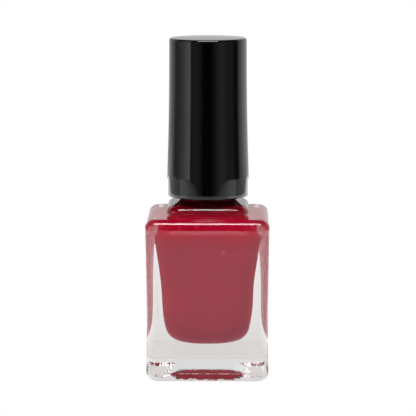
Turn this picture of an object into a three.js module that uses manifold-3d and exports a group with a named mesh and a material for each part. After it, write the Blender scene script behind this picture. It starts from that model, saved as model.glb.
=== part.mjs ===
// Square glass nail polish bottle with a tall round brush cap.
// Millimetres, +Z up. The origin is the centre of the base, and the front face looks along -Y.
import * as THREE from 'three';
import { mergeVertices } from 'three/addons/utils/BufferGeometryUtils.js';
import Module from 'manifold-3d';

const wasm = await Module();
wasm.setup();

// ---- Glass bottle, outside ----
const SHOULDER_HALF_WIDTH = 13.5;
const WAIST_HALF_WIDTH = 13.1;
const HEEL_HALF_WIDTH = 13.3;
const WAIST_Z = 14;
const SHOULDER_Z = 35.5;
const BODY_CORNER_RADIUS = 2.3;
const SHOULDER_FILLET = 2.15;
const HEEL_FILLET = 2.0;
const PUNT_DEPTH = 1.9;
const PUNT_CORNER_RADIUS = 2.8;
const BEARING_RING_WIDTH = 2.2;
const COLLAR_HALF_WIDTH = 8.95;
const COLLAR_CORNER_RADIUS = 3.2;
const COLLAR_TOP_Z = 37.7;
const COLLAR_FILLET = 1.5;
const COLLAR_CROWN = 0.6;
const COLLAR_PINCH = 0.4;
const NECK_RADIUS = 5.75;
const RIM_Z = 48.7;
const RIM_ROUND = 0.5;
const MOUTH_RADIUS = 3.8;

// ---- Glass bottle, inside ----
const BASE_THICKNESS = 7.1;
const CAVITY_TOP_HALF_WIDTH = 11.3;
const CAVITY_MID_HALF_WIDTH = 10.15;
const CAVITY_LOW_HALF_WIDTH = 9.3;
const CAVITY_TOP_Z = 33.4;
const CAVITY_LOW_Z = 12;
const CAVITY_CORNER_RADIUS = 3.4;
const THROAT_HALF_WIDTH = 8.2;
const THROAT_CORNER_RADIUS = 3.0;
const THROAT_TOP_Z = 36.8;

// ---- Screw thread, 12 turns to the inch, right-hand ----
const THREAD_PITCH = 25.4 / 12;
const THREAD_START_Z = 43.4;
const BOTTLE_THREAD_TURNS = 1.5;
const BOTTLE_THREAD_CREST_RADIUS = 6.3;
const CAP_THREAD_TURNS = 1.25;
const CAP_THREAD_CREST_RADIUS = 5.98;
const THREAD_ROOT_WIDTH = 1.1;
const THREAD_CREST_WIDTH = 0.5;
const THREAD_EMBED = 0.3;
const THREAD_RUN_OUT = Math.PI / 6;

// ---- Outer cap ----
const CAP_BOTTOM_Z = 39.2;
const CAP_TOP_Z = 73.7;
const CAP_CROWN = 0.2;
const CAP_TOP_RADIUS = 8.45;
const CAP_BOTTOM_RADIUS = 8.98;
const CAP_BAND_TOP_Z = 43.4;
const CAP_FLARE_POWER = 2.3;
const CAP_TOP_EDGE = 0.5;
const CAP_BOTTOM_EDGE = 0.35;
const CAP_ROOF = 1.5;
const CAP_BORE_BOTTOM_RADIUS = 7.8;
const CAP_BORE_TOP_RADIUS = 7.3;

// ---- Inner cap ----
const SKIRT_BOTTOM_Z = 39.8;
const SKIRT_RADIUS = 7.25;
const SKIRT_BORE_RADIUS = 6.52;
const SKIRT_EDGE = 0.2;
const RIB_COUNT = 24;
const RIB_WIDTH = 0.5;
const RIB_RADIUS = 7.48;
const RIB_BOTTOM_Z = 41;
const RIB_TOP_Z = 50;
const CEILING_Z = 50.4;
const CEILING_THICKNESS = 1.2;
const SOCKET_RADIUS = 2.65;
const SOCKET_TOP_Z = 55;
const SOCKET_WALL = 1.5;

// ---- Seal liner and brush ----
const SEAT_GAP = 0.02;
const LINER_THICKNESS = 0.8;
const LINER_RADIUS = 5.9;
const LINER_HOLE_RADIUS = 1.9;
const ROD_FLANGE_RADIUS = 5.6;
const ROD_HEAD_RADIUS = 2.6;
const ROD_HEAD_TOP_Z = 54.8;
const ROD_TOP_RADIUS = 1.6;
const ROD_END_RADIUS = 1.45;
const ROD_END_Z = 24;
const ROD_HOLE_RADIUS = 1.05;
const ROD_HOLE_DEPTH = 3.6;
const TUFT_ROOT_RADIUS = 0.95;
const TUFT_BELLY_RADIUS = 1.85;
const TUFT_BELLY_Z = 14;
const TUFT_TIP_RADIUS = 0.9;
const TUFT_TIP_Z = 8.8;
const ANCHOR_THICKNESS = 0.3;
const ANCHOR_WIDTH = 1.96;
const ANCHOR_HEIGHT = 1.1;
const ANCHOR_CLEARANCE = 0.06;
const ANCHOR_CENTRE_Z = 26;

// ---- Lacquer and mixing balls ----
const LACQUER_GAP = 0.2;
const LACQUER_TOP_Z = 40;
const BRUSH_WELL_RADIUS = 2.4;
const BRUSH_WELL_FLOOR_Z = 8.3;
const BALL_RADIUS = 2.0;
const BALL_POCKET_GAP = 0.3;
const BALL_SEATS = [
  { name: 'mixing_ball_1', x: -4.7, y: -1.2 },
  { name: 'mixing_ball_2', x: 3.6, y: 3.3 },
];
const BALL_CENTRE_Z = 9.7;

// ---- Mesh fineness ----
const CORNER_STEPS = 6;
const SIDE_STEPS = 3;
const RING_POINTS = 4 * (CORNER_STEPS + 2 * SIDE_STEPS);
const FILLET_STEPS = 5;
const THREAD_STEPS_PER_TURN = 24;

// ---- Materials ----
const material = (color, roughness, metalness, opacity = 1) => new THREE.MeshStandardMaterial({
  color, roughness, metalness, opacity, transparent: opacity < 1,
});

// ---- Lofts made of level rings ----

// A rounded square, starting at the middle of its +X side.
function squareRing(halfWidth, cornerRadius, z) {
  const straight = halfWidth - cornerRadius;
  const quadrant = [];
  for (let i = 0; i < SIDE_STEPS; i += 1) {
    quadrant.push([halfWidth, straight * i / SIDE_STEPS]);
  }
  for (let i = 0; i <= CORNER_STEPS; i += 1) {
    const angle = Math.PI / 2 * i / CORNER_STEPS;
    quadrant.push([straight + cornerRadius * Math.cos(angle), straight + cornerRadius * Math.sin(angle)]);
  }
  for (let i = SIDE_STEPS - 1; i > 0; i -= 1) {
    quadrant.push([straight * i / SIDE_STEPS, halfWidth]);
  }
  const ring = [];
  for (let turn = 0; turn < 4; turn += 1) {
    const cos = Math.round(Math.cos(turn * Math.PI / 2));
    const sin = Math.round(Math.sin(turn * Math.PI / 2));
    for (const [x, y] of quadrant) {
      ring.push(new THREE.Vector3(x * cos - y * sin, x * sin + y * cos, z));
    }
  }
  return ring;
}

// A circle with the same number of points, starting on the +X axis.
function roundRing(radius, z) {
  const ring = [];
  for (let i = 0; i < RING_POINTS; i += 1) {
    const angle = 2 * Math.PI * i / RING_POINTS;
    ring.push(new THREE.Vector3(radius * Math.cos(angle), radius * Math.sin(angle), z));
  }
  return ring;
}

// A closed skin through the rings, with a flat end on the first and the last.
function loft(rings) {
  const positions = [];
  const faces = [];
  for (const ring of rings) {
    for (const point of ring) {
      positions.push(point.x, point.y, point.z);
    }
  }
  const count = RING_POINTS;
  for (let level = 0; level < rings.length - 1; level += 1) {
    for (let i = 0; i < count; i += 1) {
      const a = level * count + i;
      const b = level * count + (i + 1) % count;
      faces.push(a, b, b + count, a, b + count, a + count);
    }
  }
  const firstCentre = rings.length * count;
  const lastCentre = firstCentre + 1;
  const lastStart = (rings.length - 1) * count;
  positions.push(0, 0, rings[0][0].z, 0, 0, rings[rings.length - 1][0].z);
  for (let i = 0; i < count; i += 1) {
    const next = (i + 1) % count;
    faces.push(firstCentre, next, i, lastCentre, lastStart + i, lastStart + next);
  }
  const geometry = new THREE.BufferGeometry();
  geometry.setAttribute('position', new THREE.Float32BufferAttribute(positions, 3));
  geometry.setIndex(faces);
  geometry.computeVertexNormals();
  return geometry;
}

// Steps of a quarter-round between two levels: inset and rise, each from 0 to the radius.
function quarterRound(radius) {
  const steps = [];
  for (let i = 0; i <= FILLET_STEPS; i += 1) {
    const angle = Math.PI / 2 * i / FILLET_STEPS;
    steps.push({ inset: radius * (1 - Math.cos(angle)), rise: radius * Math.sin(angle) });
  }
  return steps;
}

// ---- Manifold helpers ----
function toSolid(geometry) {
  const bare = geometry.clone();
  bare.deleteAttribute('normal');
  bare.deleteAttribute('uv');
  const merged = mergeVertices(bare, 1e-4);
  return new wasm.Manifold(new wasm.Mesh({
    numProp: 3,
    vertProperties: new Float32Array(merged.attributes.position.array),
    triVerts: new Uint32Array(merged.index.array),
  }));
}

function toGeometry(solid) {
  const mesh = solid.getMesh();
  const geometry = new THREE.BufferGeometry();
  geometry.setAttribute('position', new THREE.BufferAttribute(mesh.vertProperties, 3));
  geometry.setIndex(new THREE.BufferAttribute(mesh.triVerts, 1));
  geometry.computeVertexNormals();
  return geometry;
}

// A round piece from [radius, z] points. The lathe turns about Y, so it is stood up on Z.
function turned(points, segments) {
  const geometry = new THREE.LatheGeometry(points.map(([r, z]) => new THREE.Vector2(r, z)), segments);
  return geometry.rotateX(Math.PI / 2);
}

// A helical ridge that fades into its wall at both ends. It grows from wallRadius to crestRadius,
// outward on the bottle and inward in the cap, and climbs one pitch for each turn.
function threadRidge(wallRadius, crestRadius, startZ, turns) {
  const outward = crestRadius > wallRadius;
  const rootRadius = outward ? wallRadius - THREAD_EMBED : wallRadius + THREAD_EMBED;
  const fadedRadius = wallRadius + (rootRadius - wallRadius) / 2;
  const steps = Math.round(turns * THREAD_STEPS_PER_TURN);
  const sweep = turns * 2 * Math.PI;
  const positions = [];
  const faces = [];
  for (let i = 0; i <= steps; i += 1) {
    const angle = sweep * i / steps;
    const height = Math.min(1, angle / THREAD_RUN_OUT, (sweep - angle) / THREAD_RUN_OUT);
    const crest = fadedRadius + (crestRadius - fadedRadius) * height;
    const z = startZ + THREAD_PITCH * angle / (2 * Math.PI);
    const section = [
      [rootRadius, z - THREAD_ROOT_WIDTH / 2],
      [crest, z - THREAD_CREST_WIDTH / 2],
      [crest, z + THREAD_CREST_WIDTH / 2],
      [rootRadius, z + THREAD_ROOT_WIDTH / 2],
    ];
    for (const [radius, level] of section) {
      positions.push(radius * Math.cos(angle), radius * Math.sin(angle), level);
    }
  }
  const quad = (a, b, c, d) => faces.push(...(outward ? [a, b, c, a, c, d] : [a, c, b, a, d, c]));
  for (let i = 0; i < steps; i += 1) {
    for (let side = 0; side < 4; side += 1) {
      const next = (side + 1) % 4;
      quad(4 * i + side, 4 * i + 4 + side, 4 * i + 4 + next, 4 * i + next);
    }
  }
  quad(0, 1, 2, 3);
  quad(4 * steps + 3, 4 * steps + 2, 4 * steps + 1, 4 * steps);
  const geometry = new THREE.BufferGeometry();
  geometry.setAttribute('position', new THREE.Float32BufferAttribute(positions, 3));
  geometry.setIndex(faces);
  return geometry;
}

// ---- Glass bottle ----

// The hollow under the base, as shares of its half width and of its depth, from the roof outward.
const PUNT_PROFILE = [
  [0.6, 1],
  [0.76, 0.93],
  [0.88, 0.68],
  [0.96, 0.3],
  [1, 0],
];

function bodyHalfWidth(z) {
  if (z < WAIST_Z) {
    const below = (WAIST_Z - z) / WAIST_Z;
    return WAIST_HALF_WIDTH + (HEEL_HALF_WIDTH - WAIST_HALF_WIDTH) * below ** 2;
  }
  const above = (z - WAIST_Z) / (SHOULDER_Z - WAIST_Z);
  return WAIST_HALF_WIDTH + (SHOULDER_HALF_WIDTH - WAIST_HALF_WIDTH) * above;
}

// The outside from the middle of the punt, over the heel and shoulder, to the rim. The collar
// draws in at its foot, and its top rises toward the neck.
function bottleOutside() {
  const rings = [];
  const bearingOuter = HEEL_HALF_WIDTH - HEEL_FILLET;
  const bearingInner = bearingOuter - BEARING_RING_WIDTH;
  for (const [share, rise] of PUNT_PROFILE) {
    rings.push(squareRing(bearingInner * share, PUNT_CORNER_RADIUS * share, PUNT_DEPTH * rise));
  }
  for (const { inset, rise } of quarterRound(HEEL_FILLET).reverse()) {
    const z = HEEL_FILLET - rise;
    rings.push(squareRing(bodyHalfWidth(z) - inset, BODY_CORNER_RADIUS - inset / 2, z));
  }
  for (const z of [8, WAIST_Z, 24]) {
    rings.push(squareRing(bodyHalfWidth(z), BODY_CORNER_RADIUS, z));
  }
  for (const { inset, rise } of quarterRound(SHOULDER_FILLET)) {
    const z = SHOULDER_Z - SHOULDER_FILLET + rise;
    rings.push(squareRing(bodyHalfWidth(z) - inset, BODY_CORNER_RADIUS - inset / 2, z));
  }
  const collarSide = COLLAR_TOP_Z - COLLAR_FILLET - SHOULDER_Z;
  for (const share of [0, 0.35, 0.7]) {
    const halfWidth = COLLAR_HALF_WIDTH - COLLAR_PINCH * (1 - share) ** 2;
    rings.push(squareRing(halfWidth, COLLAR_CORNER_RADIUS, SHOULDER_Z + collarSide * share));
  }
  for (const { inset, rise } of quarterRound(COLLAR_FILLET)) {
    const z = COLLAR_TOP_Z - COLLAR_FILLET + rise;
    rings.push(squareRing(COLLAR_HALF_WIDTH - inset, COLLAR_CORNER_RADIUS - inset / 2, z));
  }
  rings.push(roundRing(NECK_RADIUS, COLLAR_TOP_Z + COLLAR_CROWN));
  for (const { inset, rise } of quarterRound(RIM_ROUND)) {
    rings.push(roundRing(NECK_RADIUS - inset, RIM_Z - RIM_ROUND + rise));
  }
  return rings;
}

// The cavity from the throat down to the middle of its floor, drawn in by gap on every side. It flares
// out under the shoulder, tapers slowly downward and ends in a dished floor.
function cavity(gap) {
  const levels = [
    { halfWidth: THROAT_HALF_WIDTH, corner: THROAT_CORNER_RADIUS, z: THROAT_TOP_Z - 0.9 },
    { halfWidth: THROAT_HALF_WIDTH + 0.3, corner: 3.2, z: CAVITY_TOP_Z + 0.3 - gap },
    { halfWidth: CAVITY_TOP_HALF_WIDTH - 1.7, corner: 3.2, z: CAVITY_TOP_Z - gap },
    { halfWidth: CAVITY_TOP_HALF_WIDTH - 0.5, corner: 3.2, z: CAVITY_TOP_Z - 0.8 - gap / 2 },
    { halfWidth: CAVITY_TOP_HALF_WIDTH, corner: CAVITY_CORNER_RADIUS, z: CAVITY_TOP_Z - 2.2 },
    { halfWidth: CAVITY_MID_HALF_WIDTH, corner: 3.8, z: 21.5 },
    { halfWidth: CAVITY_LOW_HALF_WIDTH, corner: 4.6, z: CAVITY_LOW_Z },
    { halfWidth: CAVITY_LOW_HALF_WIDTH - 0.7, corner: 5, z: BASE_THICKNESS + 2.6 + gap / 3 },
    { halfWidth: CAVITY_LOW_HALF_WIDTH - 2.1, corner: 4.8, z: BASE_THICKNESS + 1.15 + gap * 0.8 },
    { halfWidth: CAVITY_LOW_HALF_WIDTH - 4.3, corner: 3.8, z: BASE_THICKNESS + 0.4 + gap },
    { halfWidth: 2, corner: 1.6, z: BASE_THICKNESS + gap },
  ];
  return levels.map(({ halfWidth, corner, z }) => squareRing(halfWidth - gap, corner - gap / 2, z));
}

// The mouth's bore where it opens into the collar, drawn in by gap.
function throat(gap) {
  return [
    roundRing(MOUTH_RADIUS - gap, COLLAR_TOP_Z + 1),
    roundRing(MOUTH_RADIUS + 0.5 - gap, COLLAR_TOP_Z - 0.7 - gap / 2),
    squareRing(THROAT_HALF_WIDTH - 0.6, THROAT_CORNER_RADIUS - 0.2, THROAT_TOP_Z - gap),
  ];
}

function bottleInside() {
  const rings = [];
  for (const { inset, rise } of quarterRound(RIM_ROUND).reverse()) {
    rings.push(roundRing(MOUTH_RADIUS + inset, RIM_Z - RIM_ROUND + rise));
  }
  return rings.concat(throat(0), cavity(0));
}

function glassBottle() {
  const body = toSolid(loft(bottleOutside().concat(bottleInside())));
  const ridge = threadRidge(NECK_RADIUS, BOTTLE_THREAD_CREST_RADIUS, THREAD_START_Z, BOTTLE_THREAD_TURNS);
  return toGeometry(body.add(toSolid(ridge)));
}

// ---- Lacquer, with a well for the brush and a pocket around each mixing ball ----
function lacquer() {
  const outside = throat(LACQUER_GAP).concat(cavity(LACQUER_GAP)).reverse();
  outside.push(roundRing(MOUTH_RADIUS - LACQUER_GAP, LACQUER_TOP_Z));
  outside.push(roundRing(BRUSH_WELL_RADIUS, LACQUER_TOP_Z));
  outside.push(roundRing(BRUSH_WELL_RADIUS, BRUSH_WELL_FLOOR_Z));
  let solid = toSolid(loft(outside));
  for (const { x, y } of BALL_SEATS) {
    const pocket = new THREE.SphereGeometry(BALL_RADIUS + BALL_POCKET_GAP, 20, 14);
    solid = solid.subtract(toSolid(pocket.translate(x, y, BALL_CENTRE_Z)));
  }
  return toGeometry(solid);
}

// ---- Outer cap ----

// The side flares slowly from the top, and ends in a straight band above the bottom edge.
function capRadius(z) {
  const down = Math.min(1, (CAP_TOP_Z - z) / (CAP_TOP_Z - CAP_BAND_TOP_Z));
  return CAP_TOP_RADIUS + (CAP_BOTTOM_RADIUS - CAP_TOP_RADIUS) * down ** CAP_FLARE_POWER;
}

function outerCap() {
  const roofZ = CAP_TOP_Z - CAP_ROOF;
  const points = [[0, CAP_TOP_Z + CAP_CROWN], [CAP_TOP_RADIUS / 2, CAP_TOP_Z + CAP_CROWN * 0.75]];
  for (const { inset, rise } of quarterRound(CAP_TOP_EDGE).reverse()) {
    const z = CAP_TOP_Z - CAP_TOP_EDGE + rise;
    points.push([capRadius(z) - inset, z]);
  }
  for (const part of [0.75, 0.5, 0.35, 0.2, 0.1, 0]) {
    const z = CAP_BAND_TOP_Z + (CAP_TOP_Z - CAP_BAND_TOP_Z) * part;
    points.push([capRadius(z), z]);
  }
  for (const { inset, rise } of quarterRound(CAP_BOTTOM_EDGE)) {
    const z = CAP_BOTTOM_Z + CAP_BOTTOM_EDGE - rise;
    points.push([capRadius(z) - inset, z]);
  }
  points.push([CAP_BORE_BOTTOM_RADIUS + 0.2, CAP_BOTTOM_Z]);
  points.push([CAP_BORE_BOTTOM_RADIUS, CAP_BOTTOM_Z + 0.2]);
  points.push([CAP_BORE_TOP_RADIUS, roofZ - 0.5]);
  points.push([CAP_BORE_TOP_RADIUS - 0.5, roofZ]);
  points.push([0, roofZ]);
  return turned(points.reverse(), 64);
}

// ---- Inner cap: threaded skirt, grip ribs and the socket for the brush ----
function innerCap() {
  const bossRadius = SOCKET_RADIUS + SOCKET_WALL;
  const bossTopZ = SOCKET_TOP_Z + SOCKET_WALL;
  const shoulderZ = CEILING_Z + CEILING_THICKNESS;
  const points = [
    [0, SOCKET_TOP_Z],
    [SOCKET_RADIUS, SOCKET_TOP_Z],
    [SOCKET_RADIUS, CEILING_Z],
    [SKIRT_BORE_RADIUS, CEILING_Z],
    [SKIRT_BORE_RADIUS, SKIRT_BOTTOM_Z + SKIRT_EDGE],
    [SKIRT_BORE_RADIUS + SKIRT_EDGE, SKIRT_BOTTOM_Z],
    [SKIRT_RADIUS - SKIRT_EDGE, SKIRT_BOTTOM_Z],
    [SKIRT_RADIUS, SKIRT_BOTTOM_Z + SKIRT_EDGE],
    [SKIRT_RADIUS, shoulderZ - 0.6],
    [SKIRT_RADIUS - 0.6, shoulderZ],
    [bossRadius, shoulderZ],
    [bossRadius, bossTopZ - 0.6],
    [bossRadius - 0.6, bossTopZ],
    [0, bossTopZ],
  ];
  let solid = toSolid(turned(points, 48));
  const ribDepth = RIB_RADIUS - SKIRT_RADIUS + 0.3;
  for (let i = 0; i < RIB_COUNT; i += 1) {
    const rib = new THREE.BoxGeometry(ribDepth, RIB_WIDTH, RIB_TOP_Z - RIB_BOTTOM_Z);
    rib.translate(RIB_RADIUS - ribDepth / 2, 0, (RIB_TOP_Z + RIB_BOTTOM_Z) / 2);
    rib.rotateZ(2 * Math.PI * i / RIB_COUNT);
    solid = solid.add(toSolid(rib));
  }
  const startZ = THREAD_START_Z - THREAD_PITCH / 2;
  const ridge = threadRidge(SKIRT_BORE_RADIUS, CAP_THREAD_CREST_RADIUS, startZ, CAP_THREAD_TURNS);
  return toGeometry(solid.add(toSolid(ridge)));
}

// ---- Seal liner ----
function sealLiner() {
  const bottom = RIM_Z + SEAT_GAP;
  const top = bottom + LINER_THICKNESS;
  const points = [
    [LINER_HOLE_RADIUS, bottom],
    [LINER_RADIUS, bottom],
    [LINER_RADIUS, top],
    [LINER_HOLE_RADIUS, top],
    [LINER_HOLE_RADIUS, bottom],
  ];
  return turned(points, 48);
}

// ---- Brush: rod, bristle anchor and bristle tuft ----
function brushRod() {
  const flangeBottom = RIM_Z + LINER_THICKNESS + 2 * SEAT_GAP;
  const flangeTop = CEILING_Z - SEAT_GAP;
  const points = [
    [0, ROD_END_Z + ROD_HOLE_DEPTH],
    [ROD_HOLE_RADIUS, ROD_END_Z + ROD_HOLE_DEPTH],
    [ROD_HOLE_RADIUS, ROD_END_Z],
    [ROD_END_RADIUS - 0.1, ROD_END_Z],
    [ROD_END_RADIUS, ROD_END_Z + 0.2],
    [ROD_TOP_RADIUS, flangeBottom],
    [ROD_FLANGE_RADIUS, flangeBottom],
    [ROD_FLANGE_RADIUS, flangeTop],
    [ROD_HEAD_RADIUS, flangeTop],
    [ROD_HEAD_RADIUS, ROD_HEAD_TOP_Z - 0.3],
    [ROD_HEAD_RADIUS - 0.3, ROD_HEAD_TOP_Z],
    [0, ROD_HEAD_TOP_Z],
  ];
  return turned(points, 32);
}

function bristleAnchor() {
  const plate = new THREE.BoxGeometry(ANCHOR_THICKNESS, ANCHOR_WIDTH, ANCHOR_HEIGHT);
  return plate.translate(0, 0, ANCHOR_CENTRE_Z);
}

// The bundle is folded over the anchor, so its root has a slot that the anchor lies in.
function bristleTuft() {
  const rootTop = ROD_END_Z + ROD_HOLE_DEPTH - 0.1;
  const points = [
    [0, TUFT_TIP_Z],
    [TUFT_TIP_RADIUS, TUFT_TIP_Z + 0.25],
    [TUFT_TIP_RADIUS + 0.5, TUFT_TIP_Z + 1.2],
    [TUFT_BELLY_RADIUS, TUFT_BELLY_Z],
    [ROD_END_RADIUS, ROD_END_Z - 2],
    [TUFT_ROOT_RADIUS, ROD_END_Z - 0.3],
    [TUFT_ROOT_RADIUS, rootTop - 0.4],
    [TUFT_ROOT_RADIUS - 0.4, rootTop],
    [0, rootTop],
  ];
  const slot = new THREE.BoxGeometry(
    ANCHOR_THICKNESS + 2 * ANCHOR_CLEARANCE,
    4 * TUFT_ROOT_RADIUS,
    ANCHOR_HEIGHT + 2 * ANCHOR_CLEARANCE,
  );
  slot.translate(0, 0, ANCHOR_CENTRE_Z);
  return toGeometry(toSolid(turned(points, 24)).subtract(toSolid(slot)));
}

// ---- The assembly ----
const bottle = new THREE.Group();

function place(name, geometry, look) {
  const mesh = new THREE.Mesh(geometry, look);
  mesh.name = name;
  bottle.add(mesh);
  return mesh;
}

place('glass_bottle', glassBottle(), material('#dfe4e2', 0.03, 0, 0.35));
place('lacquer', lacquer(), material('#a00018', 0.12, 0));
for (const { name, x, y } of BALL_SEATS) {
  const ball = place(name, new THREE.SphereGeometry(BALL_RADIUS, 20, 14), material('#b9bcc0', 0.18, 1));
  ball.position.set(x, y, BALL_CENTRE_Z);
}
place('outer_cap', outerCap(), material('#0d0d0f', 0.08, 0));
place('inner_cap', innerCap(), material('#19191b', 0.45, 0));
place('seal_liner', sealLiner(), material('#f2f0ea', 0.8, 0));
place('brush_rod', brushRod(), material('#e4e2dc', 0.35, 0));
place('bristle_anchor', bristleAnchor(), material('#b08d4c', 0.35, 1));
place('bristle_tuft', bristleTuft(), material('#1c1a1a', 0.6, 0));

export default bottle;
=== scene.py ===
"""Looks for the nail polish bottle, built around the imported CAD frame: moulded glass, lacquer,
gloss cap, closure and brush. Metres, +Z up, the front face looks along -Y."""

import math
import random

import bmesh
import bpy
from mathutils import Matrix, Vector, noise


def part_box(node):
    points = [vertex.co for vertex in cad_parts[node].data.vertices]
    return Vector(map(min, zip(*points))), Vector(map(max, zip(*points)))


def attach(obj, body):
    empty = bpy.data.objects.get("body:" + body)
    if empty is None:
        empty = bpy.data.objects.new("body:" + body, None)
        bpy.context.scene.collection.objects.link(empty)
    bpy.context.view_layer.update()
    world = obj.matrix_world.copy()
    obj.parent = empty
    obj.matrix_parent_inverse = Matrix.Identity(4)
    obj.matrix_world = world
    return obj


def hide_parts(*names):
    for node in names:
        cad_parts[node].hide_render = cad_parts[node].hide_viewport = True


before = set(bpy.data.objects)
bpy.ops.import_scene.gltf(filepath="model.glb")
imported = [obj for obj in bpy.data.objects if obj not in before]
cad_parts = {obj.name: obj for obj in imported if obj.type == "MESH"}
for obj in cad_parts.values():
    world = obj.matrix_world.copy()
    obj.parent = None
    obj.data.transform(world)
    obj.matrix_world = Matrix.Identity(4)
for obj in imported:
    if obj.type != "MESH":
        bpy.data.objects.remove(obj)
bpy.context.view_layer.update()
MM = 0.001

# ---- Places taken from the frame, in millimetres ----


def node_box(node):
    low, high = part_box(node)
    return low / MM, high / MM


RIM_Z = node_box("glass_bottle")[1].z
CAP_BOTTOM_Z, CAP_TOP_Z = node_box("outer_cap")[0].z, node_box("outer_cap")[1].z
LACQUER_TOP_Z = node_box("lacquer")[1].z
LINER_LOW, LINER_HIGH = node_box("seal_liner")
ROD_LOW, ROD_HIGH = node_box("brush_rod")
TUFT_LOW, TUFT_HIGH = node_box("bristle_tuft")
INNER_LOW, INNER_HIGH = node_box("inner_cap")

# ---- Glass bottle ----
SHOULDER_HALF_WIDTH = 13.5
WAIST_HALF_WIDTH = 13.1
HEEL_HALF_WIDTH = 13.3
WAIST_Z = 14.0
SHOULDER_Z = 35.5
BODY_CORNER = 2.3
SHOULDER_FILLET = 2.15
HEEL_FILLET = 2.0
PUNT_DEPTH = 1.9
PUNT_CORNER = 2.8
PUNT_SLOPE_SHARE = 0.45
PUNT_SLOPE_POWER = 2.4
BEARING_WIDTH = 2.2
COLLAR_HALF_WIDTH = 8.95
COLLAR_CORNER = 3.2
COLLAR_TOP_Z = 37.7
COLLAR_FILLET = 1.5
COLLAR_CROWN = 0.6
COLLAR_PINCH = 0.4
COLLAR_FOOT_FILLET = 0.3
NECK_RADIUS = 5.75
NECK_FOOT_FILLET = 0.4
RIM_ROUND = 0.5
MOUTH_RADIUS = 3.8
BASE_THICKNESS = 7.1
CAVITY_TOP_HALF_WIDTH = 11.3
CAVITY_LOW_HALF_WIDTH = 9.3
CAVITY_TOP_Z = 33.4
CAVITY_LOW_Z = 12.0
THROAT_HALF_WIDTH = 8.2
THROAT_TOP_Z = 36.8
GLASS_WAVE = 0.05
LACQUER_BITE = 0.03

# ---- Screw thread ----
PITCH = 25.4 / 12
THREAD_START_Z = 43.4
THREAD_CREST_HALF = 0.22
THREAD_ROOT_HALF = 0.52
BOTTLE_CREST = 0.55
BOTTLE_TURNS = 1.5
CAP_CREST = 0.54
CAP_TURNS = 1.25
RUN_OUT = math.pi / 6

# ---- Outer cap ----
CAP_CROWN = 0.2
CAP_TOP_RADIUS = 8.45
CAP_BOTTOM_RADIUS = 8.98
CAP_BAND_TOP_Z = 43.4
CAP_BAND_BLEND = 0.5
CAP_FLARE_POWER = 2.3
CAP_TOP_EDGE = 0.5
CAP_BOTTOM_EDGE = 0.35
CAP_ROOF = 1.5
CAP_BORE_BOTTOM = 7.8
CAP_BORE_TOP = 7.3

# ---- Inner cap, liner and brush ----
SKIRT_RADIUS = 7.25
SKIRT_BORE = 6.52
SKIRT_END_ROUND = 0.2
CLOSURE_ROUND = 0.6
BOSS_FILLET = 0.4
RIB_COUNT = 24
RIB_HEIGHT = 0.23
RIB_LOW_Z = 41.0
RIB_HIGH_Z = 50.0
CEILING_Z = 50.4
CEILING_THICKNESS = 1.2
SOCKET_RADIUS = 2.65
SOCKET_TOP_Z = 55.0
SOCKET_WALL = 1.5
LINER_HOLE = 1.9
LINER_EDGE = 0.15
ROD_END_RADIUS = 1.45
ROD_TOP_RADIUS = 1.6
ROD_HOLE_RADIUS = 1.05
ROD_HOLE_DEPTH = 3.6
ROD_FLANGE_RADIUS = 5.6
ROD_HEAD_RADIUS = 2.6
ROD_END_ROUND = 0.2
ROD_FLANGE_EDGE = 0.12
ROD_FLANGE_FILLET = 0.25
ROD_HEAD_ROUND = 0.35
TUFT_BELLY_RADIUS = 1.8
TUFT_BELLY_Z = 14.0
TUFT_ROOT_RADIUS = 0.93
FILAMENTS = 420
FILAMENT_RADIUS = 0.055

# ---- Mesh fineness ----
CORNER_STEPS = 14
SIDE_PARTS = (0.0, 0.3, 0.6, 0.82, 0.94)
RING_POINTS = 4 * (CORNER_STEPS + 2 * len(SIDE_PARTS))
ROUND_STEPS = 12


# ---- Meshes ----
def new_object(name, vertices, faces, look, sharp_degrees):
    mesh = bpy.data.meshes.new(name)
    mesh.from_pydata([Vector(v) * MM for v in vertices], [], faces)
    mesh.validate()
    shade(mesh, sharp_degrees)
    mesh.materials.append(look)
    obj = bpy.data.objects.new(name, mesh)
    bpy.context.scene.collection.objects.link(obj)
    return obj


def shade(mesh, sharp_degrees):
    """Smooth shading with the edges over an angle kept sharp, and faces turned outward."""
    work = bmesh.new()
    work.from_mesh(mesh)
    bmesh.ops.recalc_face_normals(work, faces=work.faces)
    for face in work.faces:
        face.smooth = True
    limit = math.radians(sharp_degrees)
    for edge in work.edges:
        edge.smooth = len(edge.link_faces) == 2 and edge.calc_face_angle(0) < limit
    work.to_mesh(mesh)
    work.free()


def loft(rings, closed=False):
    """Vertices and faces of a skin through rings of equal count. Open lofts get a fan at each end."""
    count = len(rings[0])
    vertices = [p for ring in rings for p in ring]
    faces = []
    levels = len(rings) if closed else len(rings) - 1
    for level in range(levels):
        low = level * count
        high = (level + 1) % len(rings) * count
        for i in range(count):
            j = (i + 1) % count
            faces.append((low + i, low + j, high + j, high + i))
    if not closed:
        for ring, start, turn in ((rings[0], 0, -1), (rings[-1], (len(rings) - 1) * count, 1)):
            centre = len(vertices)
            vertices.append(tuple(sum(p[k] for p in ring) / count for k in range(3)))
            for i in range(count):
                j = (i + 1) % count
                pair = (start + i, start + j) if turn > 0 else (start + j, start + i)
                faces.append((*pair, centre))
    return vertices, faces


def square_ring(half, corner, z):
    """A rounded square that starts at the middle of its +X side."""
    corner = min(corner, half)
    straight = half - corner
    quadrant = [(half, straight * part) for part in SIDE_PARTS]
    for i in range(CORNER_STEPS + 1):
        angle = math.pi / 2 * i / CORNER_STEPS
        quadrant.append((straight + corner * math.cos(angle), straight + corner * math.sin(angle)))
    quadrant += [(straight * part, half) for part in reversed(SIDE_PARTS[1:])]
    ring = []
    for cos, sin in ((1, 0), (0, 1), (-1, 0), (0, -1)):
        ring += [(x * cos - y * sin, x * sin + y * cos, z) for x, y in quadrant]
    return ring


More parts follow.
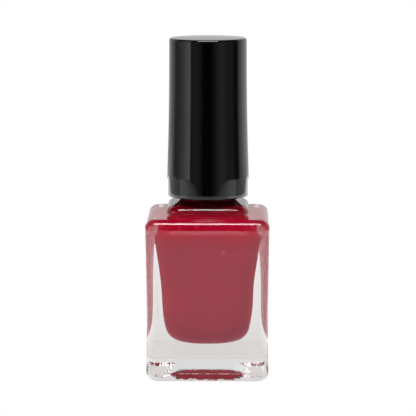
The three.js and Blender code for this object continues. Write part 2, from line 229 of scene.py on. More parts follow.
def round_ring(radius, z, count=RING_POINTS):
    turns = (2 * math.pi * i / count for i in range(count))
    return [(radius * math.cos(a), radius * math.sin(a), z) for a in turns]


def mixed_ring(square, round_, share):
    return [tuple(a + (b - a) * share for a, b in zip(p, q)) for p, q in zip(square, round_)]


def quarter(radius, steps=ROUND_STEPS):
    """(inset, rise) along a quarter-round, each from 0 to the radius."""
    angles = (math.pi / 2 * i / steps for i in range(steps + 1))
    return [(radius * (1 - math.cos(a)), radius * math.sin(a)) for a in angles]


def smooth_step(value):
    value = min(1.0, max(0.0, value))
    return value * value * (3 - 2 * value)


def between(a, b, steps):
    return [a + (b - a) * i / steps for i in range(1, steps)]


def thread_height(angle, z, start_z, turns, crest):
    """How far a screw ridge stands out of its wall at this angle and height."""
    height = 0.0
    for turn in range(math.ceil(turns) + 1):
        along = angle + 2 * math.pi * turn
        left = turns * 2 * math.pi - along
        if left <= 0:
            continue
        away = abs(z - start_z - PITCH * along / (2 * math.pi))
        flank = (THREAD_ROOT_HALF - away) / (THREAD_ROOT_HALF - THREAD_CREST_HALF)
        height = max(height, crest * smooth_step(flank) * min(1.0, along / RUN_OUT, left / RUN_OUT))
    return height


def lathe(points, look, name, count, sharp_degrees=38):
    """A round piece from (radius, z) points; a first or last radius of 0 closes it on the axis."""
    inner = [p for p in points if p[0] > 0]
    rings = [round_ring(r, z, count) for r, z in inner]
    closed = points[0][0] > 0
    vertices, faces = loft(rings, closed)
    if not closed:
        vertices[-2] = (0, 0, points[0][1])
        vertices[-1] = (0, 0, points[-1][1])
    return new_object(name, vertices, faces, look, sharp_degrees)


# ---- Materials ----
def new_material(name, color, roughness, **values):
    """A Principled material with plain values on its own sockets, ready for pattern nodes."""
    look = bpy.data.materials.new(name)
    look.use_nodes = True
    shader = look.node_tree.nodes["Principled BSDF"]
    shader.inputs["Base Color"].default_value = (*color, 1)
    shader.inputs["Roughness"].default_value = roughness
    for socket, value in values.items():
        shader.inputs[socket.replace("_", " ")].default_value = value
    return look


def add_node(look, kind, values=None, **settings):
    node = look.node_tree.nodes.new(kind)
    for key, value in settings.items():
        setattr(node, key, value)
    for socket, value in (values or {}).items():
        node.inputs[socket].default_value = value
    return node


def link(look, output, target):
    look.node_tree.links.new(output, target)


def pattern(look, scale, detail, stretch=(1, 1, 1)):
    """Noise in the piece's own space; scale is in waves per metre."""
    place = add_node(look, "ShaderNodeTexCoord")
    mapping = add_node(look, "ShaderNodeMapping", {"Scale": stretch})
    wave = add_node(look, "ShaderNodeTexNoise", {"Scale": scale, "Detail": detail})
    link(look, place.outputs["Object"], mapping.inputs["Vector"])
    link(look, mapping.outputs["Vector"], wave.inputs["Vector"])
    return wave.outputs["Fac"]


def vary(look, source, low, high, socket):
    """Drives a shader value between two ends by a pattern."""
    spread = add_node(look, "ShaderNodeMapRange", {
        "From Min": 0.3, "From Max": 0.7, "To Min": low, "To Max": high,
    })
    link(look, source, spread.inputs["Value"])
    link(look, spread.outputs["Result"], look.node_tree.nodes["Principled BSDF"].inputs[socket])


def tint(look, source, low, high):
    """Mixes two base colours by a pattern."""
    ramp = add_node(look, "ShaderNodeValToRGB")
    ramp.color_ramp.elements[0].position, ramp.color_ramp.elements[1].position = 0.35, 0.65
    ramp.color_ramp.elements[0].color, ramp.color_ramp.elements[1].color = (*low, 1), (*high, 1)
    link(look, source, ramp.inputs["Fac"])
    link(look, ramp.outputs["Color"], look.node_tree.nodes["Principled BSDF"].inputs["Base Color"])


def paint_shade_between_heights(look, start, end, color):
    """Fades the base colour to a darker one between two heights: painted shade."""
    place = add_node(look, "ShaderNodeTexCoord")
    split = add_node(look, "ShaderNodeSeparateXYZ")
    share = add_node(look, "ShaderNodeMapRange", {"From Min": start, "From Max": end})
    mix = add_node(look, "ShaderNodeMix", data_type="RGBA")
    mix.inputs["B"].default_value = (*color, 1)
    socket = look.node_tree.nodes["Principled BSDF"].inputs["Base Color"]
    link(look, place.outputs["Object"], split.inputs["Vector"])
    link(look, split.outputs["Z"], share.inputs["Value"])
    link(look, share.outputs["Result"], mix.inputs["Factor"])
    link(look, socket.links[0].from_socket, mix.inputs["A"])
    link(look, mix.outputs["Result"], socket)


def relief(look, layers):
    """Bumps in layers of (pattern, height in metres)."""
    normal = None
    for source, distance in layers:
        bump = add_node(look, "ShaderNodeBump", {"Strength": 1.0, "Distance": distance})
        link(look, source, bump.inputs["Height"])
        if normal is not None:
            link(look, normal, bump.inputs["Normal"])
        normal = bump.outputs["Normal"]
    link(look, normal, look.node_tree.nodes["Principled BSDF"].inputs["Normal"])


def stipple(look):
    """Grain that is only there under the base, where the bottle is stippled against slipping."""
    place = add_node(look, "ShaderNodeTexCoord")
    split = add_node(look, "ShaderNodeSeparateXYZ")
    link(look, place.outputs["Object"], split.inputs["Vector"])
    low = add_node(look, "ShaderNodeMapRange", {
        "From Min": PUNT_DEPTH * 1.02 * MM, "From Max": PUNT_DEPTH * 1.1 * MM,
        "To Min": 1.0, "To Max": 0.0,
    })
    link(look, split.outputs["Z"], low.inputs["Value"])
    masked = add_node(look, "ShaderNodeMath", operation="MULTIPLY")
    link(look, pattern(look, 1100, 1.5), masked.inputs[0])
    link(look, low.outputs["Result"], masked.inputs[1])
    return masked.outputs[0]


def glass_look():
    """Pressed flint glass with a faint mould wave. Lamps and bounced light pass straight through."""
    look = new_material(
        "clear_glass", (0.98, 0.985, 0.98), 0.0, IOR=1.51, Transmission_Weight=1.0,
        Specular_IOR_Level=0.5,
    )
    relief(look, [(pattern(look, 110, 1.5), 0.000007), (stipple(look), 0.00014)])
    tree = look.node_tree
    path = add_node(look, "ShaderNodeLightPath")
    either = add_node(look, "ShaderNodeMath", operation="MAXIMUM")
    link(look, path.outputs["Is Shadow Ray"], either.inputs[0])
    link(look, path.outputs["Is Diffuse Ray"], either.inputs[1])
    clear = add_node(look, "ShaderNodeBsdfTransparent", {"Color": (0.95, 0.95, 0.95, 1)})
    mix = add_node(look, "ShaderNodeMixShader")
    link(look, either.outputs[0], mix.inputs[0])
    link(look, tree.nodes["Principled BSDF"].outputs[0], mix.inputs[1])
    link(look, clear.outputs[0], mix.inputs[2])
    link(look, mix.outputs[0], tree.nodes["Material Output"].inputs["Surface"])
    return look


LACQUER_RED = (0.33, 0.0012, 0.016)
MOULD_GRAIN = 1800


def lacquer_look():
    look = new_material(
        "red_lacquer", LACQUER_RED, 0.25, Specular_IOR_Level=0.06,
        Sheen_Weight=0.25, Sheen_Roughness=0.35, Sheen_Tint=(1, 0.2, 0.25, 1),
    )
    tint(look, pattern(look, 160, 4), (0.315, 0.001, 0.015), (0.345, 0.0014, 0.0175))
    # Painted shade: the lacquer turns deep dark red from just under the shoulder up into the collar,
    # where the cap above would shade it.
    paint_shade_between_heights(look, (SHOULDER_Z - 0.4) * MM, (COLLAR_TOP_Z - 0.5) * MM, (0.07, 0.0002, 0.001))
    vary(look, pattern(look, 600, 2), 0.2, 0.3, "Roughness")
    return look


def wet_look():
    look = new_material("wet_lacquer", LACQUER_RED, 0.06, Specular_IOR_Level=0.5, Coat_Weight=0.5)
    tint(look, pattern(look, 500, 4), (0.4, 0.001, 0.01), (0.5, 0.003, 0.017))
    relief(look, [(pattern(look, 900, 2), 0.00003)])
    return look


def cap_look():
    look = new_material("black_cap", (0.0014, 0.0012, 0.001), 0.04, IOR=1.5)
    tint(look, pattern(look, 260, 4), (0.001, 0.0009, 0.0007), (0.0018, 0.0015, 0.0013))
    vary(look, pattern(look, 1500, 5), 0.03, 0.06, "Roughness")
    relief(look, [(pattern(look, 90, 2, (1, 1, 0.3)), 0.000012), (pattern(look, 2600, 2), 0.0000003)])
    return look


def moulded_look(name, low, high, roughness):
    look = new_material(name, low, roughness, Subsurface_Weight=0.1, Subsurface_Scale=0.001)
    tint(look, pattern(look, 300, 4), low, high)
    vary(look, pattern(look, MOULD_GRAIN, 4), roughness - 0.08, roughness + 0.08, "Roughness")
    relief(look, [(pattern(look, MOULD_GRAIN, 3), 0.000006)])
    return look


def foam_look():
    look = new_material("liner_foam", (0.88, 0.87, 0.83), 0.8)
    tint(look, pattern(look, 900, 5), (0.84, 0.83, 0.78), (0.92, 0.91, 0.88))
    relief(look, [(pattern(look, 4200, 3), 0.00004)])
    return look


def metal_look(name, color, roughness):
    look = new_material(name, color, roughness, Metallic=1.0)
    vary(look, pattern(look, 2400, 4, (1, 1, 8)), roughness - 0.07, roughness + 0.1, "Roughness")
    relief(look, [(pattern(look, 3000, 2, (1, 1, 8)), 0.000003)])
    return look


def rod_look():
    """White moulded stem, red where the lacquer has wetted it, with an uneven edge."""
    look = new_material("rod_plastic", (0.86, 0.85, 0.81), 0.35)
    place = add_node(look, "ShaderNodeTexCoord")
    split = add_node(look, "ShaderNodeSeparateXYZ")
    link(look, place.outputs["Object"], split.inputs["Vector"])
    uneven = add_node(look, "ShaderNodeMath", {1: 0.004}, operation="MULTIPLY")
    link(look, pattern(look, 350, 3), uneven.inputs[0])
    height = add_node(look, "ShaderNodeMath", operation="ADD")
    link(look, split.outputs["Z"], height.inputs[0])
    link(look, uneven.outputs[0], height.inputs[1])
    edge = add_node(look, "ShaderNodeMapRange", {
        "From Min": (LACQUER_TOP_Z + 0.9) * MM, "From Max": (LACQUER_TOP_Z + 1.6) * MM,
    })
    link(look, height.outputs[0], edge.inputs["Value"])
    mix = add_node(look, "ShaderNodeMix", data_type="RGBA")
    mix.inputs["A"].default_value = (*LACQUER_RED, 1)
    mix.inputs["B"].default_value = (0.86, 0.85, 0.81, 1)
    link(look, edge.outputs["Result"], mix.inputs["Factor"])
    shader = look.node_tree.nodes["Principled BSDF"]
    link(look, mix.outputs["Result"], shader.inputs["Base Color"])
    gloss = add_node(look, "ShaderNodeMapRange", {"To Min": 0.08, "To Max": 0.38})
    link(look, edge.outputs["Result"], gloss.inputs["Value"])
    link(look, gloss.outputs["Result"], shader.inputs["Roughness"])
    relief(look, [(pattern(look, 1600, 3), 0.000005)])
    return look


# ---- Glass bottle and lacquer ----
def body_half_width(z):
    if z < WAIST_Z:
        below = (WAIST_Z - z) / WAIST_Z
        return WAIST_HALF_WIDTH + (HEEL_HALF_WIDTH - WAIST_HALF_WIDTH) * below**2
    above = (z - WAIST_Z) / (SHOULDER_Z - WAIST_Z)
    return WAIST_HALF_WIDTH + (SHOULDER_HALF_WIDTH - WAIST_HALF_WIDTH) * above


def punt_rings():
    """The shallow hollow under the base, from its middle out to the ring the bottle stands on."""
    outer = HEEL_HALF_WIDTH - HEEL_FILLET
    inner = outer - BEARING_WIDTH
    rings = []
    for part in (0.1, 0.3, 0.5, 0.6, 0.66, 0.72, 0.77, 0.82, 0.86, 0.9, 0.93, 0.96, 0.98, 1.0):
        slope = max(0.0, (part - (1 - PUNT_SLOPE_SHARE)) / PUNT_SLOPE_SHARE)
        z = PUNT_DEPTH * (1 - slope**PUNT_SLOPE_POWER)
        rings.append(square_ring(inner * part, PUNT_CORNER * part, z))
    rings.append(square_ring(inner + 0.1, PUNT_CORNER, 0))
    rings.append(square_ring(outer - 0.15, BODY_CORNER - HEEL_FILLET / 2, 0))
    return rings


def outside_rings():
    rings = punt_rings()
    for inset, rise in reversed(quarter(HEEL_FILLET)):
        z = HEEL_FILLET - rise
        rings.append(square_ring(body_half_width(z) - inset, BODY_CORNER - inset / 2, z))
    top = SHOULDER_Z - SHOULDER_FILLET
    for z in [HEEL_FILLET + 0.2, *between(HEEL_FILLET, top, 14), top - 0.2]:
        rings.append(square_ring(body_half_width(z), BODY_CORNER, z))
    for inset, rise in quarter(SHOULDER_FILLET):
        half = body_half_width(top + rise) - inset
        rings.append(square_ring(half, BODY_CORNER - inset / 2, top + rise))
    edge = SHOULDER_HALF_WIDTH - SHOULDER_FILLET
    rings.append(square_ring(edge - 0.15, BODY_CORNER - SHOULDER_FILLET / 2, SHOULDER_Z))
    side_top = COLLAR_TOP_Z - COLLAR_FILLET
    foot = COLLAR_HALF_WIDTH - COLLAR_PINCH + COLLAR_FOOT_FILLET
    rings.append(square_ring(foot + 0.1, COLLAR_CORNER + COLLAR_FOOT_FILLET, SHOULDER_Z))
    for inset, rise in quarter(COLLAR_FOOT_FILLET, 8):
        corner = COLLAR_CORNER + COLLAR_FOOT_FILLET - rise
        rings.append(square_ring(foot - rise, corner, SHOULDER_Z + inset))
    side_low = SHOULDER_Z + COLLAR_FOOT_FILLET
    for share in (0.2, 0.4, 0.6, 0.8):
        half = COLLAR_HALF_WIDTH - COLLAR_PINCH * (1 - share) ** 2
        rings.append(square_ring(half, COLLAR_CORNER, side_low + (side_top - side_low) * share))
    for inset, rise in quarter(COLLAR_FILLET):
        rings.append(square_ring(COLLAR_HALF_WIDTH - inset, COLLAR_CORNER - inset / 2, side_top + rise))
    collar_edge = square_ring(COLLAR_HALF_WIDTH - COLLAR_FILLET - 0.15, 2.5, COLLAR_TOP_Z)
    rings.append(collar_edge)
    crown = COLLAR_TOP_Z + COLLAR_CROWN
    neck_foot = round_ring(NECK_RADIUS + NECK_FOOT_FILLET, crown)
    rings.append(mixed_ring(collar_edge, neck_foot, 0.6))
    for inset, rise in quarter(NECK_FOOT_FILLET, 5):
        rings.append(round_ring(NECK_RADIUS + NECK_FOOT_FILLET - rise, crown + inset))
    return rings + neck_rings()


def neck_rings():
    low, high = THREAD_START_Z - 0.8, THREAD_START_Z + PITCH * BOTTLE_TURNS + 0.8
    foot = COLLAR_TOP_Z + COLLAR_CROWN + NECK_FOOT_FILLET
    rings = [round_ring(NECK_RADIUS, z) for z in between(foot, low, 5)]
    steps = 64
    for i in range(steps + 1):
        z = low + (high - low) * i / steps
        ring = []
        for k in range(RING_POINTS):
            angle = 2 * math.pi * k / RING_POINTS
            radius = NECK_RADIUS + thread_height(angle, z, THREAD_START_Z, BOTTLE_TURNS, BOTTLE_CREST)
            ring.append((radius * math.cos(angle), radius * math.sin(angle), z))
        rings.append(ring)
    for inset, rise in quarter(RIM_ROUND, 8):
        rings.append(round_ring(NECK_RADIUS - inset, RIM_Z - RIM_ROUND + rise))
    return rings


def cavity_profile():
    """(half width, corner radius, height) of the cavity wall, from the throat to the floor."""
    top, low = CAVITY_TOP_HALF_WIDTH, CAVITY_LOW_HALF_WIDTH
    return [
        (THROAT_HALF_WIDTH - 0.7, 2.8, THROAT_TOP_Z),
        (THROAT_HALF_WIDTH - 0.2, 2.9, THROAT_TOP_Z - 0.25),
        (THROAT_HALF_WIDTH, 3.0, THROAT_TOP_Z - 0.9),
        (THROAT_HALF_WIDTH + 0.03, 3.1, CAVITY_TOP_Z + 0.9),
        (THROAT_HALF_WIDTH + 0.3, 3.2, CAVITY_TOP_Z + 0.3),
        (THROAT_HALF_WIDTH + 1.2, 3.3, CAVITY_TOP_Z + 0.05),
        (top - 1.7, 3.2, CAVITY_TOP_Z),
        (top - 1.0, 3.2, CAVITY_TOP_Z - 0.25),
        (top - 0.5, 3.2, CAVITY_TOP_Z - 0.8),
        (top - 0.12, 3.3, CAVITY_TOP_Z - 1.5),
        (top, 3.4, CAVITY_TOP_Z - 2.2),
        (top * 0.42 + low * 0.58, 3.8, 21.5),
        (low, 4.6, CAVITY_LOW_Z),
        (low - 0.7, 5.0, BASE_THICKNESS + 2.6),
        (low - 2.1, 4.8, BASE_THICKNESS + 1.15),
        (low - 4.3, 3.8, BASE_THICKNESS + 0.4),
        (2.5, 2.0, BASE_THICKNESS + 0.05),
        (0.8, 0.7, BASE_THICKNESS),
    ]


def curve_through(points, steps):
    """A smooth curve through points of equal length, steps to a span (centripetal Catmull-Rom)."""
    found = []
    for i in range(len(points) - 1):
        four = [Vector(points[max(0, min(len(points) - 1, i + k))]) for k in (-1, 0, 1, 2)]
        spans = [max(1e-6, (four[k + 1] - four[k]).length) ** 0.5 for k in range(3)]
        knots = [0, spans[0], spans[0] + spans[1], sum(spans)]
        for step in range(steps):
            t = knots[1] + spans[1] * step / steps
            found.append(tuple(knot_blend(four, knots, t)))
    found.append(tuple(points[-1]))
    return found


def knot_blend(four, knots, t):
    def mix(a, b, low, high):
        return a * ((high - t) / (high - low)) + b * ((t - low) / (high - low))

    first = [mix(four[k], four[k + 1], knots[k], knots[k + 1]) for k in range(3)]
    second = [mix(first[k], first[k + 1], knots[k], knots[k + 2]) for k in range(2)]
    return mix(second[0], second[1], knots[1], knots[2])


def waved(ring, amount):
    """Draws ring points in or out by the slow unevenness of a blown cavity wall."""
    moved = []
    for x, y, z in ring:
        push = amount * noise.noise(Vector((x, y, z)) * 0.16 + Vector((3.1, 7.7, 1.3)))
        across = math.hypot(x, y) or 1.0
        moved.append((x + push * x / across, y + push * y / across, z))
    return moved


def cavity_rings(outset):
    rings = []
    for half, corner, z in curve_through(cavity_profile(), 4):
        rings.append(waved(square_ring(half + outset, corner + outset / 2, z), GLASS_WAVE * 4))
    return rings


def bore_rings(outset):
    """The mouth's bore, and where it opens out into the collar."""
    straight = between(RIM_Z - RIM_ROUND, COLLAR_TOP_Z + 1.2, 6)
    rings = [round_ring(MOUTH_RADIUS + outset, z) for z in straight]
    # (how much wider, how far from round to square, height over the collar's edge)
    opening = (
        (0.0, 0.0, 1.2), (0.1, 0.0, 0.3), (0.4, 0.03, -0.35), (1.0, 0.15, -0.65), (2.1, 0.6, -0.78),
    )
    for wider, share, rise in opening:
        radius = MOUTH_RADIUS + wider + outset
        square = square_ring(radius, 3.0, COLLAR_TOP_Z + rise)
        rings.append(mixed_ring(round_ring(radius, COLLAR_TOP_Z + rise), square, share))
    return rings


def mouth_rings():
    rings = []
    for inset, rise in reversed(quarter(RIM_ROUND, 8)):
        rings.append(round_ring(MOUTH_RADIUS + inset, RIM_Z - RIM_ROUND + rise))
    return rings + bore_rings(0)


def glass_bottle(look):
    rings = outside_rings() + mouth_rings() + cavity_rings(0)
    vertices, faces = loft(rings)
    piece = new_object("glass_body", vertices, faces, look, 50)
    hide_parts("glass_bottle")
    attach(piece, "bottle")


def lacquer_fill(look):
    """The liquid, closed at the top by its own level with a raised edge where it wets the glass."""
    rings = bore_rings(LACQUER_BITE) + cavity_rings(LACQUER_BITE)
    top = [ring for ring in reversed(rings) if ring[0][2] < LACQUER_TOP_Z - 0.2]
    half = MOUTH_RADIUS + LACQUER_BITE
    for inset, rise in ((0.0, 0.0), (0.05, -0.25), (0.25, -0.45), (0.6, -0.55), (1.2, -0.6), (2.4, -0.6)):
        top.append(round_ring(half - inset, LACQUER_TOP_Z + rise))
    vertices, faces = loft(top)
    piece = new_object("lacquer_fill", vertices, faces, look, 60)
    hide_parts("lacquer")
    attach(piece, "bottle")


# ---- Outer cap ----
def cap_radius(z):
    """The side flares slowly from the top, and ends in a straight band above the bottom edge."""
    total = 0.0
    samples = (-0.75, -0.25, 0.25, 0.75)
    flare_top = CAP_TOP_Z - CAP_CROWN
    for shift in samples:
        down = (flare_top - z - shift * CAP_BAND_BLEND) / (flare_top - CAP_BAND_TOP_Z)
        total += min(1.0, max(0.0, down)) ** CAP_FLARE_POWER
    return CAP_TOP_RADIUS + (CAP_BOTTOM_RADIUS - CAP_TOP_RADIUS) * total / len(samples)


def outer_cap(look):
    side_top = CAP_TOP_Z - CAP_CROWN
    roof = side_top - CAP_ROOF
    edge = CAP_TOP_RADIUS - CAP_TOP_EDGE
    points = [(0, CAP_TOP_Z)]
    for part in (0.1, 0.3, 0.5, 0.7, 0.85, 0.95, 0.985):
        points.append((edge * part, side_top + CAP_CROWN * (1 - part**2)))
    for inset, rise in reversed(quarter(CAP_TOP_EDGE, 10)):
        z = side_top - CAP_TOP_EDGE + rise
        points.append((cap_radius(z) - inset, z))
    for z in between(side_top - CAP_TOP_EDGE, CAP_BOTTOM_Z + CAP_BOTTOM_EDGE, 48):
        points.append((cap_radius(z), z))
    for inset, rise in quarter(CAP_BOTTOM_EDGE, 8):
        z = CAP_BOTTOM_Z + CAP_BOTTOM_EDGE - rise
        points.append((cap_radius(z) - inset, z))
    points.append((CAP_BORE_BOTTOM + 0.25, CAP_BOTTOM_Z))
    points.append((CAP_BORE_BOTTOM + 0.06, CAP_BOTTOM_Z + 0.07))
    points.append((CAP_BORE_BOTTOM, CAP_BOTTOM_Z + 0.25))
    for part in (0.25, 0.5, 0.75):
        radius = CAP_BORE_BOTTOM + (CAP_BORE_TOP - CAP_BORE_BOTTOM) * part
        points.append((radius, CAP_BOTTOM_Z + (roof - CAP_BOTTOM_Z) * part))
    for inset, rise in quarter(0.5, 6):
        points.append((CAP_BORE_TOP - inset, roof - 0.5 + rise))
    points.append((3.0, roof))
    points.append((0, roof))
    piece = lathe(points, look, "cap_shell", 192)
    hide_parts("outer_cap")
    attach(piece, "cap")


# ---- Inner cap, liner and brush ----
def inner_cap(look):
    """Moulded closure: grip ribs outside, screw ridge inside, and the socket that holds the brush."""
    count = 192
    low_z = INNER_LOW.z
    shoulder = CEILING_Z + CEILING_THICKNESS
    boss = SOCKET_RADIUS + SOCKET_WALL
    boss_top = SOCKET_TOP_Z + SOCKET_WALL

    def wall(radius, z, ribs=False, ridge=False):
        ring = []
        for k in range(count):
            angle = 2 * math.pi * k / count
            r = radius
            if ribs:
                crest = math.cos(angle * RIB_COUNT) * 0.5 + 0.5
                ends = smooth_step((z - RIB_LOW_Z) / 0.4) * smooth_step((RIB_HIGH_Z - z) / 0.4)
                r += RIB_HEIGHT * smooth_step((crest - 0.45) / 0.4) * ends
            if ridge:
                r -= thread_height(angle, z, THREAD_START_Z - PITCH / 2, CAP_TURNS, CAP_CREST)
            ring.append((r * math.cos(angle), r * math.sin(angle), z))
        return ring

    rings = [wall(SOCKET_RADIUS * part, SOCKET_TOP_Z) for part in (0.3, 0.95)]
    rings += [wall(SOCKET_RADIUS, SOCKET_TOP_Z - 0.15), wall(SOCKET_RADIUS, CEILING_Z + 0.15)]
    rings += [wall(SOCKET_RADIUS + 0.15, CEILING_Z), wall(SKIRT_BORE - 0.15, CEILING_Z)]
    ridge_low = THREAD_START_Z - PITCH / 2 - 0.7
    ridge_high = ridge_low + PITCH * CAP_TURNS + 1.4
    rings.append(wall(SKIRT_BORE, CEILING_Z - 0.15))
    rings += [wall(SKIRT_BORE, z, ridge=True) for z in reversed(between(ridge_low, ridge_high, 52))]
    rings.append(wall(SKIRT_BORE, low_z + 0.3))
    for inset, rise in quarter(SKIRT_END_ROUND, 4):
        rings.append(wall(SKIRT_BORE + inset, low_z + SKIRT_END_ROUND - rise))
    for inset, rise in reversed(quarter(SKIRT_END_ROUND, 4)):
        rings.append(wall(SKIRT_RADIUS - inset, low_z + SKIRT_END_ROUND - rise))
    rings += [wall(SKIRT_RADIUS, z, ribs=True) for z in between(low_z + 0.4, shoulder - 0.7, 60)]
    for inset, rise in quarter(CLOSURE_ROUND, 6):
        rings.append(wall(SKIRT_RADIUS - inset, shoulder - CLOSURE_ROUND + rise))
    for inset, rise in quarter(BOSS_FILLET, 5):
        rings.append(wall(boss + BOSS_FILLET - rise, shoulder + inset))
    for inset, rise in quarter(CLOSURE_ROUND, 6):
        rings.append(wall(boss - inset, boss_top - CLOSURE_ROUND + rise))
    rings.append(wall(boss * 0.4, boss_top))
    vertices, faces = loft(rings)
    piece = new_object("closure_moulding", vertices, faces, look, 45)
    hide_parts("inner_cap")
    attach(piece, "cap")


def seal_liner(look):
    low, high = LINER_LOW.z, LINER_HIGH.z
    radius = LINER_HIGH.x
    edge = LINER_EDGE
    points = []
    for inset, rise in quarter(edge, 4):
        points.append((radius - inset, high - edge + rise))
    for inset, rise in reversed(quarter(edge, 4)):
        points.append((LINER_HOLE + inset, high - edge + rise))
    for inset, rise in quarter(edge, 4):
        points.append((LINER_HOLE + inset, low + edge - rise))
    for inset, rise in reversed(quarter(edge, 4)):
        points.append((radius - inset, low + edge - rise))
    piece = lathe(points, look, "liner_washer", 96, 60)
    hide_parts("seal_liner")
    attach(piece, "liner")


def brush_rod(look):
    end, top = ROD_LOW.z, ROD_HIGH.z
    flange_low, flange_high = LINER_HIGH.z + 0.02, CEILING_Z - 0.02
    points = [
        (0, end + ROD_HOLE_DEPTH),
        (ROD_HOLE_RADIUS, end + ROD_HOLE_DEPTH),
        (ROD_HOLE_RADIUS, end + 0.15),
        (ROD_HOLE_RADIUS + 0.1, end),
    ]
    for inset, rise in reversed(quarter(ROD_END_ROUND, 5)):
        points.append((ROD_END_RADIUS - inset, end + ROD_END_ROUND - rise))
    for z in between(end + ROD_END_ROUND, flange_low - 0.5, 16):
        part = (z - end) / (flange_low - end)
        points.append((ROD_END_RADIUS + (ROD_TOP_RADIUS - ROD_END_RADIUS) * part, z))
    for inset, rise in quarter(ROD_FLANGE_FILLET, 4):
        points.append((ROD_TOP_RADIUS + inset, flange_low - ROD_FLANGE_FILLET + rise))
    points.append((ROD_FLANGE_RADIUS - ROD_FLANGE_EDGE, flange_low))
    points.append((ROD_FLANGE_RADIUS, flange_low + ROD_FLANGE_EDGE))
    points.append((ROD_FLANGE_RADIUS, flange_high - ROD_FLANGE_EDGE))
    points.append((ROD_FLANGE_RADIUS - ROD_FLANGE_EDGE, flange_high))
    points.append((ROD_HEAD_RADIUS, flange_high))
    for inset, rise in quarter(ROD_HEAD_ROUND, 5):
        points.append((ROD_HEAD_RADIUS - inset, top - ROD_HEAD_ROUND + rise))
    points.append((0, top))
    piece = lathe(points, look, "brush_stem", 64)
    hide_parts("brush_rod")
    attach(piece, "brush")


def tuft_radius(z):
    """Outer radius of the bristle bundle at a height: waisted at the stem, full in the belly."""
    if z > ROD_LOW.z - 0.3:
        return TUFT_ROOT_RADIUS
    if z > TUFT_BELLY_Z:
        part = (z - TUFT_BELLY_Z) / (ROD_LOW.z - 0.3 - TUFT_BELLY_Z)
        return TUFT_BELLY_RADIUS + (TUFT_ROOT_RADIUS + 0.2 - TUFT_BELLY_RADIUS) * part**1.6
    part = (TUFT_BELLY_Z - z) / (TUFT_BELLY_Z - TUFT_LOW.z)
    return TUFT_BELLY_RADIUS - 0.45 * part**2


def filament(vertices, faces, spot, turn, rng):
    """One tapered nylon filament from the anchor to its own tip."""
    sides, steps = 5, 10
    tip_z = TUFT_LOW.z + 0.25 + 1.9 * spot**2.2 + rng.uniform(0, 0.45)
    root_z = TUFT_HIGH.z - 0.5
    lean = rng.uniform(-0.03, 0.03)
    start = len(vertices)
    for i in range(steps + 1):
        z = root_z + (tip_z - root_z) * i / steps
        limit = max(0.0, tuft_radius(z) - FILAMENT_RADIUS)
        r = limit * spot
        a = turn + lean * i
        size = FILAMENT_RADIUS * (1.0 if i < steps - 1 else 0.8 if i < steps else 0.35)
        for k in range(sides):
            b = 2 * math.pi * k / sides
            x, y = r * math.cos(a) + size * math.cos(b), r * math.sin(a) + size * math.sin(b)
            vertices.append((x, y, z))
    for i in range(steps):
        for k in range(sides):
            low, n = start + i * sides, (k + 1) % sides
            faces.append((low + k, low + n, low + sides + n, low + sides + k))
    faces.append(tuple(start + k for k in range(sides)))
    faces.append(tuple(start + steps * sides + k for k in range(sides)))


def bristle_tuft(look):
    """Several hundred filaments, loaded with lacquer."""
    rng = random.Random(7)
    vertices, faces = [], []
    golden = math.pi * (3 - math.sqrt(5))
    for i in range(FILAMENTS):
        spot = math.sqrt((i + 0.5) / FILAMENTS)
        filament(vertices, faces, min(1.0, spot + rng.uniform(-0.02, 0.02)), golden * i, rng)
    piece = new_object("bristles", vertices, faces, look, 80)
    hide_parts("bristle_tuft")
    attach(piece, "brush")


def plain_nodes():
    """CAD nodes that keep their own shape and get a finished surface."""
    steel = metal_look("steel_ball", (0.62, 0.61, 0.6), 0.2)
    brass = metal_look("anchor_brass", (0.62, 0.42, 0.16), 0.32)
    for node, look in (("mixing_ball_1", steel), ("mixing_ball_2", steel), ("bristle_anchor", brass)):
        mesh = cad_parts[node].data
        mesh.materials.clear()
        mesh.materials.append(look)


# ---- Studio ----
CAMERA_DISTANCE = 0.4829
CAMERA_HEIGHT = 0.1087
CAMERA_PITCH = math.radians(8.53)
CAMERA_AZIMUTH = math.radians(0.8)
FOCAL_LENGTH = 192.3
SENSOR_WIDTH = 36.0


def camera():
    data = bpy.data.cameras.new("camera")
    data.lens, data.sensor_width = FOCAL_LENGTH, SENSOR_WIDTH
    data.clip_start, data.clip_end = 0.05, 20
    view = bpy.data.objects.new("camera", data)
    bpy.context.scene.collection.objects.link(view)
    view.location = (
        CAMERA_DISTANCE * math.sin(CAMERA_AZIMUTH),
        -CAMERA_DISTANCE * math.cos(CAMERA_AZIMUTH),
        CAMERA_HEIGHT,
    )
    view.rotation_euler = (math.pi / 2 - CAMERA_PITCH, 0, CAMERA_AZIMUTH)
    bpy.context.scene.camera = view


def area_light(name, place, target, width, height, radiance):
    """A softbox that faces its target. radiance is what a mirror would show of it."""
    data = bpy.data.lights.new(name, "AREA")
    data.shape, data.size, data.size_y = "RECTANGLE", width, height
    data.energy = radiance * math.pi * width * height
    lamp = bpy.data.objects.new(name, data)
    bpy.context.scene.collection.objects.link(lamp)
    lamp.location = place
    lamp.rotation_euler = (Vector(target) - Vector(place)).to_track_quat("-Z", "Y").to_euler()
    return lamp


# What stands round the bottle at table height, as (degrees from the camera, radiance).
SURROUND = (
    (-180, 0.72), (-140, 0.75), (-118, 0.6), (-108, 0.22), (-92, 0.38), (-76, 0.72), (-62, 1.25),
    (-53, 1.5), (-50, 0.15), (-36, 0.22), (-20, 0.12), (-13, 0.0), (9, 0.0), (20, 0.1), (34, 0.3),
    (47, 0.34), (56, 0.2), (76, 0.18), (84, 0.06), (96, 0.06), (104, 0.6), (125, 1.05), (180, 0.72),
)
SURROUND_RADIUS = 0.8
SURROUND_HEIGHT = 0.62


